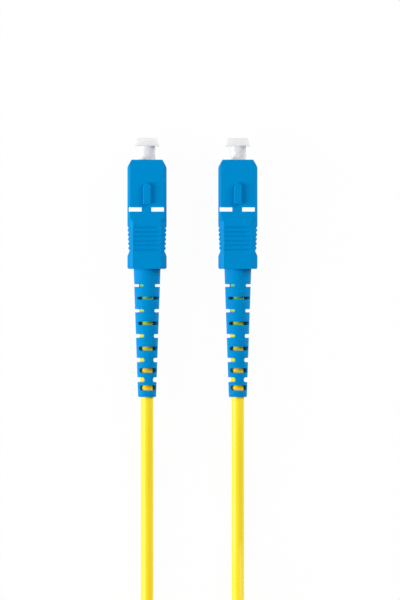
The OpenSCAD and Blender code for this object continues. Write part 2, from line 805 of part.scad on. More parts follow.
// A strap round the coil's section, from its inner to its outer turns on one side of the coil
module coil_tie(side) {
    inner_turn = coil_r - turn_step * (side > 0 ? half_turns - 0.5 : half_turns) - cable_d / 2;
    r_in = sqrt(pow(inner_turn, 2) - pow(tie_w / 2, 2)) - tie_gap;
    r_out = coil_r - turn_step * (side > 0 ? 0.75 : 0.25) + cable_d / 2 + tie_gap;
    top = coil_lift + cable_d + layer_step + tie_gap;
    color(black) translate([0, -coil_y, 0]) rotate([90, 0, 90]) linear_extrude(tie_w, center = true)
        difference() {
            strap_outline(side > 0 ? r_in - tie_t : -r_out - tie_t, 0, r_out - r_in + 2 * tie_t,
                top + tie_t, 1.2 + tie_t);
            strap_outline(side > 0 ? r_in : -r_out, tie_t, r_out - r_in, top - tie_t, 1.2);
        }
}

// A rectangle with round corners, from its low corner
module strap_outline(x, y, w, h, r) {
    for (i = [r, w - r], j = [r, h - r]) translate([x + i, y + j]) circle(r = r);
    translate([x + r, y]) square([w - 2 * r, h]);
    translate([x, y + r]) square([w, h - 2 * r]);
}

// ---------------------------------------------------------------- nodes

plug_at(-1) outer_housing();  // outer_housing_a
plug_at(-1) plug_frame();  // plug_frame_a
plug_at(-1) ferrule();  // ferrule_a
plug_at(-1) ferrule_flange();  // ferrule_flange_a
plug_at(-1) spring();  // spring_a
plug_at(-1) stop_ring();  // stop_ring_a
plug_at(-1) crimp_ring();  // crimp_ring_a
plug_at(-1) aramid_yarn();  // aramid_yarn_a
plug_at(-1) cable_jacket();  // cable_jacket_a
plug_at(-1) fiber_buffer();  // fiber_buffer_a
plug_at(-1) glass_fiber();  // glass_fiber_a
plug_at(-1) boot();  // boot_a
plug_at(-1) dust_cap();  // dust_cap_a
plug_at(1) outer_housing();  // outer_housing_b
plug_at(1) plug_frame();  // plug_frame_b
plug_at(1) ferrule();  // ferrule_b
plug_at(1) ferrule_flange();  // ferrule_flange_b
plug_at(1) spring();  // spring_b
plug_at(1) stop_ring();  // stop_ring_b
plug_at(1) crimp_ring();  // crimp_ring_b
plug_at(1) aramid_yarn();  // aramid_yarn_b
plug_at(1) cable_jacket();  // cable_jacket_b
plug_at(1) fiber_buffer();  // fiber_buffer_b
plug_at(1) glass_fiber();  // glass_fiber_b
plug_at(1) boot();  // boot_b
plug_at(1) dust_cap();  // dust_cap_b
cord_run(run_route(-1));  // cord_run_a
cord_coil();
cord_run([for (i = [len(run_plan) - 1:-1:0]) run_route(1)[i]]);  // cord_run_b
coil_tie(1);  // coil_tie_near
coil_tie(-1);  // coil_tie_far
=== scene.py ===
"""Fiber optic patch cord: two push-pull plugs with boots and dust caps on one coiled cord.

Every length is written in millimetres. A plug is made on its own axis, with X across it, Y up
towards its key and Z back from the front edge of its outer housing, and is then set in its place.
"""

import logging
import math
from collections.abc import Sequence
from dataclasses import dataclass
from enum import Enum
from typing import Any

import bmesh
import bpy
from bmesh.types import BMEdge, BMesh, BMFace, BMVert
from bpy.types import Material, Node, NodeSocket, NodeTree, Object
from mathutils import Matrix, Vector


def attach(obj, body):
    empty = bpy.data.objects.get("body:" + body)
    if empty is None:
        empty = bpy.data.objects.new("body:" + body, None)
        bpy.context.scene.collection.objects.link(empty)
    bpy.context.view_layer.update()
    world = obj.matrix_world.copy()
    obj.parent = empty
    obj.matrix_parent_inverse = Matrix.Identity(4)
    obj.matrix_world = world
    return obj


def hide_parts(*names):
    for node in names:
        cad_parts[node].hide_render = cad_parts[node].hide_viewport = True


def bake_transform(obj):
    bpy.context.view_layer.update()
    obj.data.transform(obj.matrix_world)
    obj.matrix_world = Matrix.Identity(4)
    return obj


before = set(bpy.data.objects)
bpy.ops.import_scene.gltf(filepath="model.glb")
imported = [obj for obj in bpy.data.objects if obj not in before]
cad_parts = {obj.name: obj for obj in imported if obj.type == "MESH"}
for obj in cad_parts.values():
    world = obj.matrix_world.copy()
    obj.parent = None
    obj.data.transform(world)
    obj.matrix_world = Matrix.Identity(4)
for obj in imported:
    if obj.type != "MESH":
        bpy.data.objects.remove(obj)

MM = 0.001
NODES: dict[str, Object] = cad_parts
LOG = logging.getLogger("patch_cord")
Pair = tuple[float, float]
Point = tuple[float, float, float]
Table = tuple[Pair, ...]

# How far a corner may be from the place that picks it out, in millimetres.
SLACK = 0.01
# How near two corners of a carried-over node are when they are one, in millimetres.
WELD = 0.0002
# The angle in degrees from which an edge is sharp, and the same on round pieces with few sides.
SHARP = 30.0
SHARP_ON_ROUND = 60.0
# The parts of a pattern's range that become the mix of two colours, and the roughness.
TINT_RANGE = {"From Min": 0.3, "From Max": 0.7}
ROUGHNESS_RANGE = {"From Min": 0.25, "From Max": 0.75}
# How many finer layers a noise has for the colours and for the relief, and how strong they are.
TINT_DETAIL = 2.0
RELIEF_DETAIL = 3.0
NOISE_ROUGHNESS = 0.55
# The distance between the bands of a wave pattern whose scale is 1, in metres.
WAVE_PERIOD = 0.314
WHITE = "#FFFFFF"


class End(Enum):
    """The two ends of the cord, by the suffix of their nodes."""

    A = "a"
    B = "b"

    def own(self, base: str) -> str:
        """Give the name that a piece, node or body has on this end."""
        return f"{base}_{self.value}"


# ------------------------------ finishes


def linear(hex_colour: str) -> tuple[float, ...]:
    """Turn an sRGB hex colour to linear.

    Args:
        hex_colour: Six hex digits after a hash sign.

    Returns:
        Red, green, blue and an alpha of 1.
    """
    values = [int(hex_colour[i : i + 2], 16) / 255 for i in (1, 3, 5)]
    rgb = [v / 12.92 if v <= 0.04045 else ((v + 0.055) / 1.055) ** 2.4 for v in values]
    return (*rgb, 1.0)


def empty_tree(owner: Material | bpy.types.World) -> NodeTree:
    """Give the node tree of a material or a world, with no node in it.

    Args:
        owner: The material or world.

    Returns:
        Its node tree.
    """
    owner.use_nodes = True
    owner.node_tree.nodes.clear()
    return owner.node_tree


def add_node(tree: NodeTree, kind: str, inputs: dict[str | int, Any] | None = None) -> Node:
    """Add one node to a tree.

    Args:
        tree: The tree it goes in.
        kind: The node's Blender type, less the word ShaderNode before it.
        inputs: Values, or the sockets that feed them, by the input's name or index. After a dot
            the name is that of a property.

    Returns:
        The new node.
    """
    node = tree.nodes.new(f"ShaderNode{kind}")
    for key, value in (inputs or {}).items():
        if isinstance(key, str) and key.startswith("."):
            setattr(node, key[1:], value)
        elif isinstance(value, NodeSocket):
            tree.links.new(value, node.inputs[key])
        else:
            node.inputs[key].default_value = value
    return node


@dataclass(frozen=True)
class Finish:
    """A surface: what it is made of and how it was made. Sizes are in millimetres."""

    name: str
    base: str
    shade: str
    roughness: float
    grain: float
    relief: float
    ior: float = 1.5
    metallic: float = 0.0
    patch: float = 5.0
    roughness_spread: float = 0.06
    extra: tuple[tuple[str, Any], ...] = ()

    def coordinates(self, tree: NodeTree) -> NodeSocket:
        """Give the coordinates that the patterns follow, in metres."""
        return add_node(tree, "TexCoord").outputs["Object"]

    def noise(self, tree: NodeTree, where: NodeSocket, size: float, detail: float) -> NodeSocket:
        """Add a noise whose blobs are about that many millimetres across, from 0 to 1."""
        look = {"Scale": 1 / (size * MM), "Detail": detail, "Roughness": NOISE_ROUGHNESS}
        return add_node(tree, "TexNoise", {**look, "Vector": where}).outputs["Fac"]

    def height(self, tree: NodeTree, where: NodeSocket) -> NodeSocket:
        """Give the relief's height, from 0 to 1."""
        return self.noise(tree, where, self.grain, RELIEF_DETAIL)

    def colour(self, tree: NodeTree, even: NodeSocket) -> NodeSocket:
        """Give the colour that shows, from the even one."""
        return even

    def material(self) -> Material:
        """Build the material, or give it again if it is there.

        Returns:
            The material with its nodes.
        """
        found = bpy.data.materials.get(self.name)
        if found:
            return found
        made = bpy.data.materials.new(self.name)
        tree = empty_tree(made)
        where = self.coordinates(tree)
        blotches = self.noise(tree, where, self.patch, TINT_DETAIL)
        share = add_node(tree, "MapRange", {**TINT_RANGE, "Value": blotches}).outputs[0]
        colours = {6: linear(self.base), 7: linear(self.shade)}
        even = add_node(tree, "Mix", {".data_type": "RGBA", 0: share, **colours}).outputs[2]
        relief = self.height(tree, where)
        limits = {
            "To Min": self.roughness - self.roughness_spread,
            "To Max": self.roughness + self.roughness_spread,
        }
        rough = add_node(tree, "MapRange", {**ROUGHNESS_RANGE, **limits, "Value": relief})
        bump = add_node(
            tree, "Bump", {"Strength": 1.0, "Distance": self.relief * MM, "Height": relief}
        )
        shader = add_node(
            tree,
            "BsdfPrincipled",
            {
                "Metallic": self.metallic,
                "IOR": self.ior,
                **dict(self.extra),
                "Base Color": self.colour(tree, even),
                "Roughness": rough.outputs[0],
                "Normal": bump.outputs[0],
            },
        )
        add_node(tree, "OutputMaterial", {"Surface": shader.outputs[0]})
        return made


@dataclass(frozen=True)
class LengthwiseFinish(Finish):
    """A finish whose marks run along the piece, on its own UV map laid out in metres."""

    stretch: float = 12.0

    def coordinates(self, tree: NodeTree) -> NodeSocket:
        """Give the UV map, shrunk along the piece so that marks are drawn out."""
        uv = {"Vector": add_node(tree, "TexCoord").outputs["UV"]}
        return add_node(tree, "Mapping", {**uv, "Scale": (1.0, 1 / self.stretch, 1.0)}).outputs[0]


@dataclass(frozen=True)
class PaintedShadeFinish(Finish):
    """A finish with painted shade: its colour changes with the share written on the piece, 0 to 1.

    Its stages are the painted shade colours it goes to, each with the shares where that starts and
    ends.
    """

    painted_shade_stages: tuple[tuple[str, float, float], ...] = ()

    def colour(self, tree: NodeTree, even: NodeSocket) -> NodeSocket:
        """Paint shade: go from the even colour to that of each painted shade stage in turn.

        Args:
            tree: The material's nodes.
            even: The even colour.

        Returns:
            The colour that shows.
        """
        # The share of painted shade written on the piece, from 0 to 1.
        depth = add_node(tree, "Attribute", {".attribute_name": "depth"}).outputs["Fac"]
        shown = even
        for colour, start, end in self.painted_shade_stages:
            reach = {"From Min": start, "From Max": end, "Value": depth}
            share = add_node(tree, "MapRange", reach).outputs[0]
            mix = {".data_type": "RGBA", 0: share, 6: shown, 7: linear(colour)}
            shown = add_node(tree, "Mix", mix).outputs[2]
        return shown


@dataclass(frozen=True)
class WovenFinish(Finish):
    """A narrow woven tape: threads across and along it, on its own UV map in metres."""

    thread: float = 0.45

    def coordinates(self, tree: NodeTree) -> NodeSocket:
        """Give the tape's UV map."""
        return add_node(tree, "TexCoord").outputs["UV"]

    def height(self, tree: NodeTree, where: NodeSocket) -> NodeSocket:
        """Give threads that pass over and under each other.

        Args:
            tree: The material's nodes.
            where: The tape's UV map.

        Returns:
            The relief's height, from 0 to 1.
        """
        threads = {"Scale": WAVE_PERIOD / (self.thread * MM), "Distortion": 0.6, "Detail": 1.0}
        waves = {
            i: add_node(
                tree,
                "TexWave",
                {".wave_type": "BANDS", ".bands_direction": way, **threads, "Vector": where},
            ).outputs["Fac"]
            for i, way in enumerate("XY")
        }
        return add_node(tree, "Math", {".operation": "MAXIMUM", **waves}).outputs[0]


# What both blue plastics give back in a gloss: little, and bluer than they are.
BLUE_GLOSS = (("Specular IOR Level", 0.15), ("Specular Tint", linear("#3FBCFF")))

# Polyester blend, injection moulded and polished: even colour, soft gloss, a faint ripple.
HOUSING_BLUE = Finish(
    "housing_pbt_moulded_blue",
    "#008ACC",
    "#0088CA",
    roughness=0.36,
    grain=0.5,
    relief=0.0012,
    extra=BLUE_GLOSS,
)
# Thermoplastic elastomer, moulded in a sparked tool: matte, finely grained, with painted shade
# darkening it towards its bore.
BOOT_BLUE_PAINTED_SHADE = PaintedShadeFinish(
    "boot_elastomer_moulded_blue_painted_shade",
    "#008ACC",
    "#0088CA",
    roughness=0.55,
    grain=0.28,
    relief=0.012,
    patch=0.5,
    extra=BLUE_GLOSS,
    # Painted shade: dark navy towards the inner skin, on the bore and the slot walls.
    painted_shade_stages=(("#00304E", 0.0, 1.0),),
)
# Natural polyester, injection moulded: off-white with a slight sheen.
FRAME_NATURAL = Finish(
    "frame_pbt_moulded_natural", "#F2F0E6", "#EEEBDF", roughness=0.4, grain=0.6, relief=0.002
)
# Low-density polyethylene, injection moulded: milky, lets some light through.
CAP_MILKY = Finish(
    "cap_ldpe_moulded_milky",
    "#EEEEEF",
    "#EAEAEC",
    roughness=0.4,
    grain=0.9,
    relief=0.002,
    ior=1.51,
    extra=(
        ("Transmission Weight", 0.06),
        ("Subsurface Weight", 0.7),
        ("Subsurface Radius", (1.0, 1.0, 1.0)),
        ("Subsurface Scale", 0.0016),
    ),
)
# Zirconia ceramic, ground and polished: dense white with a sharp gloss.
ZIRCONIA = Finish(
    "ferrule_zirconia_polished",
    "#F8F6F0",
    "#F4F2EC",
    roughness=0.12,
    grain=0.15,
    relief=0.0003,
    ior=2.1,
)
# Nickel plate on turned brass: pale metal, a little uneven.
NICKEL = Finish(
    "turned_brass_nickel_plated",
    "#B9BBBD",
    "#AEB0B2",
    roughness=0.25,
    grain=0.2,
    relief=0.0008,
    metallic=1.0,
)
# Spring steel wire, drawn: bright, with fine marks along it.
SPRING_STEEL = LengthwiseFinish(
    "spring_steel_wire_drawn",
    "#9EA2A6",
    "#8E9296",
    roughness=0.28,
    grain=0.08,
    relief=0.0008,
    metallic=1.0,
)
# Low-smoke cable compound, extruded: yellow, smooth, with faint marks drawn out along it.
JACKET_YELLOW = LengthwiseFinish(
    "jacket_lszh_extruded_yellow",
    "#FFE30A",
    "#FDDF06",
    roughness=0.38,
    grain=0.35,
    relief=0.001,
    patch=1.2,
    roughness_spread=0.03,
    extra=(("Specular IOR Level", 0.46),),
)
# The same compound inside the boots, less glossy, painted as a shaded copy: a more orange yellow,
# turned green deeper in by painted shade and painted blue bounce light.
JACKET_PAINTED_SHADE = PaintedShadeFinish(
    "jacket_lszh_yellow_painted_shade",
    "#FFD40E",
    "#FFD00A",
    roughness=0.45,
    grain=0.35,
    relief=0.001,
    patch=1.2,
    roughness_spread=0.03,
    extra=(("Specular IOR Level", 0.15),),
    # Painted shade and painted blue bounce light: greener and then mint deeper in the boot.
    painted_shade_stages=(("#CBE130", 0.0, 0.5), ("#76EC99", 0.5, 1.0)),
)
# Para-aramid yarn, spun: golden and rough.
YARN = Finish(
    "yarn_aramid_spun", "#E8B93A", "#D9A62C", roughness=0.6, grain=0.1, relief=0.02, patch=0.2
)
# Tight buffer, extruded: pale yellow.
BUFFER = Finish("buffer_pvc_extruded", "#F2DF5A", "#EEDA50", roughness=0.4, grain=0.3, relief=0.001)
# Silica glass fiber, drawn and polished at its end: clear.
GLASS = Finish(
    "fiber_silica_drawn",
    "#F2F8FA",
    "#F2F8FA",
    roughness=0.05,
    grain=0.1,
    relief=0.0,
    ior=1.458,
    roughness_spread=0.0,
    extra=(("Transmission Weight", 0.9),),
)
# Pad-printing ink: flat opaque white with a slightly uneven film.
INK_WHITE = Finish(
    "ink_pad_printed_white", WHITE, "#FBFCFC", roughness=0.5, grain=0.2, relief=0.001
)
# Nylon tape, woven: black threads a little under half a millimetre apart.
STRAP_BLACK = WovenFinish(
    "strap_nylon_woven_black",
    "#2B2C2F",
    "#222326",
    roughness=0.75,
    grain=0.45,
    relief=0.06,
    patch=0.6,
)


# ------------------------------ making pieces


def put(name: str, data: bpy.types.ID) -> Object:
    """Put a new object in the scene.

    Args:
        name: The object's name.
        data: The mesh, lamp or camera that it shows.

    Returns:
        The object.
    """
    made = bpy.data.objects.new(name, data)
    bpy.context.scene.collection.objects.link(made)
    return made


def piece(
    bm: BMesh,
    name: str,
    finish: Finish,
    body: str | None,
    replaced: Sequence[str] = (),
    place: Matrix | None = None,
    smooth_below: float = SHARP_ON_ROUND,
) -> Object:
    """Turn a bmesh into a finished piece at the origin.

    Args:
        bm: The mesh in millimetres; it is freed.
        name: The piece's name.
        finish: What its surface is.
        body: The body it rides on, or None for none.
        replaced: The nodes it stands for.
        place: Where it goes, from its own axes to the object's, in millimetres.
        smooth_below: The angle in degrees up to which two faces are shaded as one surface.

    Returns:
        The new object.
    """
    bm.transform(Matrix.Scale(MM, 4) @ (place or Matrix.Identity(4)))
    bmesh.ops.recalc_face_normals(bm, faces=bm.faces)
    mesh = bpy.data.meshes.new(name)
    bm.to_mesh(mesh)
    bm.free()
    mesh.shade_smooth()
    mesh.set_sharp_from_angle(angle=math.radians(smooth_below))
    mesh.materials.append(finish.material())
    made = put(name, mesh)
    if body:
        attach(made, body)
    if replaced:
        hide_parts(*replaced)
    LOG.info("%s: %d faces", name, len(mesh.polygons))
    return made


def dress(node: str, finish: Finish, rounding: float = 0.0) -> None:
    """Give a node its finish, and round its edges.

    Args:
        node: The node's name.
        finish: What its surface is.
        rounding: How far the rounding reaches in from an edge, or 0 for none.
    """
    shown = NODES[node]
    shown.data.materials.clear()
    shown.data.materials.append(finish.material())
    if rounding:
        shown.modifiers.new("weld", "WELD").merge_threshold = WELD * MM
        bevel = shown.modifiers.new("rounding", "BEVEL")
        bevel.width = rounding * MM
        bevel.segments = 2
        bevel.limit_method = "ANGLE"
        bevel.angle_limit = math.radians(SHARP)
        bevel.harden_normals = True
    LOG.info("%s: %s", node, finish.name)


def ease(share: float) -> float:
    """Rise smoothly from 0 to 1 as the share does, and stay there."""
    held = min(1.0, max(0.0, share))
    return held * held * (3 - 2 * held)


def between(table: Sequence[Pair], where: float) -> float:
    """Read a value off straight lines between pairs of place and value.

    Args:
        table: The pairs, in the order of their places.
        where: The place to read it at.

    Returns:
        The value there.
    """
    for (a, low), (b, high) in zip(table, table[1:]):
        if where <= b:
            return low + (high - low) * (where - a) / (b - a)
    return table[-1][1]


def polar(radius: float, angle: float) -> Pair:
    """Give the point at a distance and an angle from the middle."""
    return radius * math.cos(angle), radius * math.sin(angle)


def round_section(radius: float, sides: int) -> list[Pair]:
    """Give a circle's points."""
    return [polar(radius, math.tau * k / sides) for k in range(sides)]


def mirrored(quadrant: Sequence[Pair]) -> list[Pair]:
    """Turn a quarter of an outline, from the X axis to the Y axis, to a whole one."""
    half = [*quadrant[:-1], *[(-x, y) for x, y in reversed(quadrant[1:])]]
    return [*half, *[(-x, -y) for x, y in half]]


def draw_rings(bm: BMesh, sections: Sequence[Sequence[Point]]) -> list[list[BMVert]]:
    """Make a ring of edges and extrude it from section to section.

    Args:
        bm: The mesh.
        sections: The points of each ring, as many in one as in the next.

    Returns:
        The vertices of each ring in order.
    """
    count = len(sections[0])
    ring = list(bmesh.ops.create_circle(bm, segments=count, radius=1.0)["verts"])
    rings = []
    for points in sections:
        if rings:
            edges = [bm.edges.get((ring[i], ring[(i + 1) % count])) for i in range(count)]
            made = bmesh.ops.extrude_edge_only(bm, edges=edges)["geom"]
            new = {v for v in made if isinstance(v, BMVert)}
            ring = [next(w for e in v.link_edges if (w := e.other_vert(v)) in new) for v in ring]
        for vert, point in zip(ring, points):
            vert.co = point
        rings.append(ring)
    return rings


def closed_skin(sections: Sequence[Sequence[Point]], merge: float) -> BMesh:
    """Draw a skin through sections, and from the last one to the first again.

    Args:
        sections: The sections' points.
        merge: How near two points are when they are one.

    Returns:
        The mesh, closed all over.
    """
    bm = bmesh.new()
    draw_rings(bm, [*sections, sections[0]])
    bmesh.ops.remove_doubles(bm, verts=bm.verts, dist=merge)
    return bm


def faces_within(bm: BMesh, low: Point, high: Point) -> list[BMFace]:
    """Give the faces whose corners are all in a box.

    Args:
        bm: The mesh.
        low: The box's lowest corner.
        high: Its highest corner.

    Returns:
        The faces.
    """
    return [
        f
        for f in bm.faces
        if all(
            least - SLACK < place < most + SLACK
            for v in f.verts
            for least, place, most in zip(low, v.co, high)
        )
    ]


def rim_of(faces: Sequence[BMFace]) -> list[BMEdge]:
    """Give a patch's outline: the edges that just one of its faces has.

    Args:
        faces: The patch.

    Returns:
        The edges, in a steady order.
    """
    held = set(faces)
    edges = dict.fromkeys(e for f in faces for e in f.edges)
    return [e for e in edges if sum(f in held for f in e.link_faces) == 1]


def draw_out(bm: BMesh, faces: Sequence[BMFace]) -> tuple[list[BMFace], list[BMVert]]:
    """Extrude a patch of a skin, leaving no face behind.

    Args:
        bm: The mesh.
        faces: The patch.

    Returns:
        The drawn-out patch's faces and vertices, still in their old place.
    """
    made = bmesh.ops.extrude_face_region(bm, geom=list(faces))["geom"]
    bmesh.ops.delete(bm, geom=list(faces), context="FACES")
    fresh = [f for f in made if isinstance(f, BMFace)]
    return fresh, [v for v in made if isinstance(v, BMVert)]


def soften(bm: BMesh, edges: Sequence[BMEdge], reach: float) -> None:
    """Round edges with a two-step bevel.

    Args:
        bm: The mesh.
        edges: The edges; those that are gone are passed over.
        reach: How far in the bevel reaches.
    """
    bmesh.ops.bevel(
        bm,
        geom=[e for e in edges if e.is_valid],
        offset=reach,
        offset_type="OFFSET",
        segments=2,
        profile=0.5,
        affect="EDGES",
        clamp_overlap=True,
        material=-1,
    )


def sweep(path: Sequence[Vector], section: Sequence[Pair], loop: bool = False) -> BMesh:
    """Draw a bar along a path, with a UV map in metres: round its section, then along it.

    Args:
        path: The middles of its rings, in millimetres.
        section: The points of its section: across it, and up from it.
        loop: Whether the path comes back to its start, so that the bar has no ends.

    Returns:
        The mesh, closed all over.
    """
    bm = bmesh.new()
    column = bm.verts.layers.int.new("column")
    travel = bm.verts.layers.float.new("travel")
    side = Vector((0, 0, 1)).cross(path[1] - path[0])
    if side.length < 1e-6:
        side = Vector((1, 0, 0))
    sections: list[list[Vector]] = []
    travelled = [0.0]
    last = len(path) - 1
    for i, middle in enumerate(path):
        before = path[i - 1] if i else path[last - 1 if loop else 0]
        after = path[i + 1] if i < last else path[1 if loop else last]
        ahead = (after - before).normalized()
        side = (side - ahead * side.dot(ahead)).normalized()
        up = ahead.cross(side)
        sections.append([middle + x * side + y * up for x, y in section])
        if i:
            travelled.append(travelled[-1] + (middle - path[i - 1]).length)
    rings = draw_rings(bm, sections)
    for ring, gone in zip(rings, travelled):
        for k, vert in enumerate(ring):
            vert[column] = k
            vert[travel] = gone
    count = len(section)
    round_it = [0.0]
    for k in range(count):
        round_it.append(round_it[-1] + math.dist(section[k], section[(k + 1) % count]))
    uv = bm.loops.layers.uv.new("UVMap")
    for face in bm.faces:
        columns = [corner.vert[column] for corner in face.loops]
        wraps = max(columns) - min(columns) > 1
        for corner, k in zip(face.loops, columns):
            across = round_it[count if wraps and k == 0 else k]
            corner[uv].uv = (across * MM, corner.vert[travel] * MM)
    if loop:
        bmesh.ops.weld_verts(bm, targetmap=dict(zip(rings[-1], rings[0])))
    else:
        for rim in (rings[0], rings[-1]):
            bmesh.ops.contextual_create(bm, geom=rim)
    return bm


# ------------------------------ the cord


@dataclass
class Cord:
    """The free cord: out of plug A's boot, round the coil, and into plug B's boot."""

    diameter: float = 2.9
    length: float = 841.0
    sides: int = 18
    step: float = 1.25
    exit: Point = (10.45, -29.8, 3.7)
    floor_height: float = 1.5
    settle: float = 24.0
    spread_from: float = -75.5
    coil_radius: float = 22.2
    coil_back: float = 102.9
    coil_lead: float = 2.5
    coil_turns: float = 6.5
    coil_height: float = 2.1
    climb_turns: float = 0.5
    turn_step: float = 3.32
    layer_step: float = 3.34
    high_rise_from: float = -62.0
    high_rise: float = 22.0

    def radius_at(self, turns: float) -> float:
        """Give the coil's radius, which shrinks at a steady rate and grows again."""
        return self.coil_radius - self.turn_step * min(turns, self.coil_turns - turns)

    def coil_point(self, turns: float) -> Vector:
        """Give a point of the coil: inwards, up a layer, and out again.

        Args:
            turns: How many turns it is from the coil's start.

        Returns:
            The point in millimetres.
        """
        climb = ease((turns - self.coil_turns / 2 + self.climb_turns / 2) / self.climb_turns)
        x, y = polar(self.radius_at(turns), math.pi + math.tau * turns)
        return Vector((x, y - self.coil_back, self.coil_height + self.layer_step * climb))

    def run(self, side: int) -> list[Vector]:
        """Give a free stretch: down to the floor, then aside in two equal bends to the coil.

        Args:
            side: -1 for plug A's, which meets the lower layer, or 1 for plug B's.

        Returns:
            Its points in millimetres, from the boot to the coil.
        """
        out, back, height = self.exit
        spread = self.spread_from
        joint = self.coil_lead - self.coil_back
        length = spread - joint - self.coil_lead
        turn = 2 * math.atan((self.coil_radius - out) / length)
        radius = length / (2 * math.sin(turn))
        straight = round((back - spread) / self.step)
        bends = round(turn * radius / self.step)
        angles = [turn * k / bends for k in range(bends + 1)]
        arc = [(radius * (1 - math.cos(a)), radius * math.sin(a)) for a in angles]
        plan = [(out, back + (spread - back) * k / straight) for k in range(straight)]
        plan += [(out + x, spread - y) for x, y in arc]
        plan += [(self.coil_radius - x, joint + self.coil_lead + y) for x, y in arc[-2::-1]]
        plan.append((self.coil_radius, joint + self.coil_lead / 2))
        down = self.floor_height - height
        low = self.coil_height - self.floor_height
        points = []
        for x, y in plan:
            z = height + down * ease((back - self.diameter - y) / self.settle)
            if side < 0:
                z += low * ease((spread - y) / length)
            else:
                z += (low + self.layer_step) * ease((self.high_rise_from - y) / self.high_rise)
            points.append(Vector((side * x, y, z)))
        return points

    def route(self) -> list[Vector]:
        """Give the whole route of the cord's middle line.

        Returns:
            The middles of the cord's rings, in millimetres.
        """
        ahead = self.coil_lead - self.coil_back
        lower = Vector((-self.coil_radius, ahead, self.coil_height))
        upper = Vector((self.coil_radius, ahead, self.coil_height + self.layer_step))
        coil = [self.coil_point(0.0)]
        turns = 0.0
        while turns < self.coil_turns:
            around = math.tau * self.radius_at(turns)
            turns = min(self.coil_turns, turns + self.step / around)
            coil.append(self.coil_point(turns))
        return [*self.run(-1), lower, *coil, upper, *reversed(self.run(1))]

    def build(self) -> tuple[Object, list[Vector]]:
        """Make the cord's tube.

        Returns:
            The piece and the route that it follows, in metres.
        """
        route = self.route()
        made = piece(
            sweep(route, round_section(self.diameter / 2, self.sides)),
            "cord",
            JACKET_YELLOW,
            "root",
            ("cord_run_a", "cord_coil", "cord_run_b"),
        )
        return made, [p * MM for p in route]


@dataclass
class Strap:
    """One of the tapes that hold the coil: a woven band round all its turns."""

    name: str
    node: str
    span: Pair
    top: float = 7.74
    width: float = 4.0
    thickness: float = 0.6
    selvedge: Table = ((0.0, 0.0), (0.04, 0.6), (0.2, 0.97), (0.45, 0.9), (0.7, 1.0))
    corner: float = 1.5
    middle_back: float = 102.9
    steps: int = 8

    def path(self) -> list[Vector]:
        """Give the middle line of the tape, once round.

        Returns:
            Its points in millimetres, the last one on the first.
        """
        half = self.thickness / 2
        low, high = self.span[0] + half + self.corner, self.span[1] - half - self.corner
        under, over = half + self.corner, self.top - half - self.corner
        points = [Vector((0, (low + high) / 2, half))]
        corners = ((high, under, -90), (high, over, 0), (low, over, 90), (low, under, 180))
        for across, up, start in corners:
            for k in range(self.steps + 1):
                y, z = polar(self.corner, math.radians(start + 90 * k / self.steps))
                points.append(Vector((0, across + y, up + z)))
        points.append(points[0].copy())
        return [p + Vector((0, -self.middle_back, 0)) for p in points]

    def section(self) -> list[Pair]:
        """Give the tape's section: flat, with a thin selvedge on both sides."""
        wide, thick = self.width / 2, self.thickness / 2
        return mirrored([*[(wide - x, y * thick) for x, y in self.selvedge], (0.0, thick)])

    def build(self) -> Object:
        """Make the strap.

        Returns:
            The piece.
        """
        bm = sweep(self.path(), self.section(), loop=True)
        return piece(bm, self.name, STRAP_BLACK, "root", (self.node,))


# ------------------------------ the plugs


